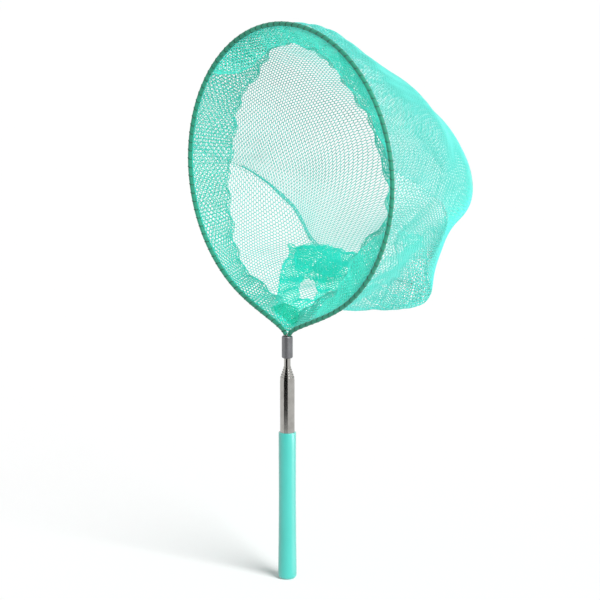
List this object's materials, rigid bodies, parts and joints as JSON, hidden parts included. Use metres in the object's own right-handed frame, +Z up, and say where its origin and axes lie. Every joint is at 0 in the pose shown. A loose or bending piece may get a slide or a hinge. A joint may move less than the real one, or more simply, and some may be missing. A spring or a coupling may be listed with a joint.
{
  "type": "telescopic dip net",
  "caption": "Hand net with a telescoping steel pole, a moulded sleeve grip, and a mesh bag hung on a round wire hoop.",
  "frame": {"origin": "middle of the flat foot of the grip", "axes": "+Z up along the pole towards the hoop, +X across the hoop, +Y the way the bag goes back"},
  "size_m": [0.2034, 0.1557, 0.3832],
  "materials": {
    "grip": "soft matt moulded mint",
    "plug": "moulded grey",
    "steel": "bright drawn stainless tube",
    "bush": "spring strip",
    "ferrule": "dull grey",
    "wire": "plain drawn wire",
    "hem": "rolled mesh, teal where it lies double",
    "mesh": "open hexagonal mint mesh"
  },
  "bodies": {
    "handle": {"grip_sleeve": "grip", "butt_plug": "plug", "pole_tube_1": "steel"},
    "bush_2": {"friction_bush_2": "bush"},
    "section_2": {"pole_tube_2": "steel"},
    "bush_3": {"friction_bush_3": "bush"},
    "section_3": {"pole_tube_3": "steel"},
    "bush_4": {"friction_bush_4": "bush"},
    "section_4": {"pole_tube_4": "steel"},
    "bush_5": {"friction_bush_5": "bush"},
    "section_5": {"pole_tube_5": "steel"},
    "bush_6": {"friction_bush_6": "bush"},
    "net_head": {"pole_tube_6": "steel", "ferrule": "ferrule", "ferrule_core": "plug", "hoop_wire": "wire", "net_hem": "hem", "hem_allowance": "hem", "net_bag": "mesh", "bag_seam": "hem"}
  },
  "joints": [
    {"name": "slide_2", "type": "slide", "parent": "handle", "child": "bush_2", "axis": [0, 0, 1], "range_m": [0, 0.1]},
    {"name": "swivel_2", "type": "hinge", "parent": "bush_2", "child": "section_2", "pos_m": [0, 0, 0.0125], "axis": [0, 0, 1], "continuous": true},
    {"name": "slide_3", "type": "slide", "parent": "section_2", "child": "bush_3", "axis": [0, 0, 1], "range_m": [0, 0.1]},
    {"name": "swivel_3", "type": "hinge", "parent": "bush_3", "child": "section_3", "pos_m": [0, 0, 0.0125], "axis": [0, 0, 1], "continuous": true},
    {"name": "slide_4", "type": "slide", "parent": "section_3", "child": "bush_4", "axis": [0, 0, 1], "range_m": [0, 0.1]},
    {"name": "swivel_4", "type": "hinge", "parent": "bush_4", "child": "section_4", "pos_m": [0, 0, 0.0125], "axis": [0, 0, 1], "continuous": true},
    {"name": "slide_5", "type": "slide", "parent": "section_4", "child": "bush_5", "axis": [0, 0, 1], "range_m": [0, 0.1]},
    {"name": "swivel_5", "type": "hinge", "parent": "bush_5", "child": "section_5", "pos_m": [0, 0, 0.0125], "axis": [0, 0, 1], "continuous": true},
    {"name": "slide_6", "type": "slide", "parent": "section_5", "child": "bush_6", "axis": [0, 0, 1], "range_m": [0, 0.1]},
    {"name": "swivel_6", "type": "hinge", "parent": "bush_6", "child": "net_head", "pos_m": [0, 0, 0.0125], "axis": [0, 0, 1], "continuous": true}
  ]
}
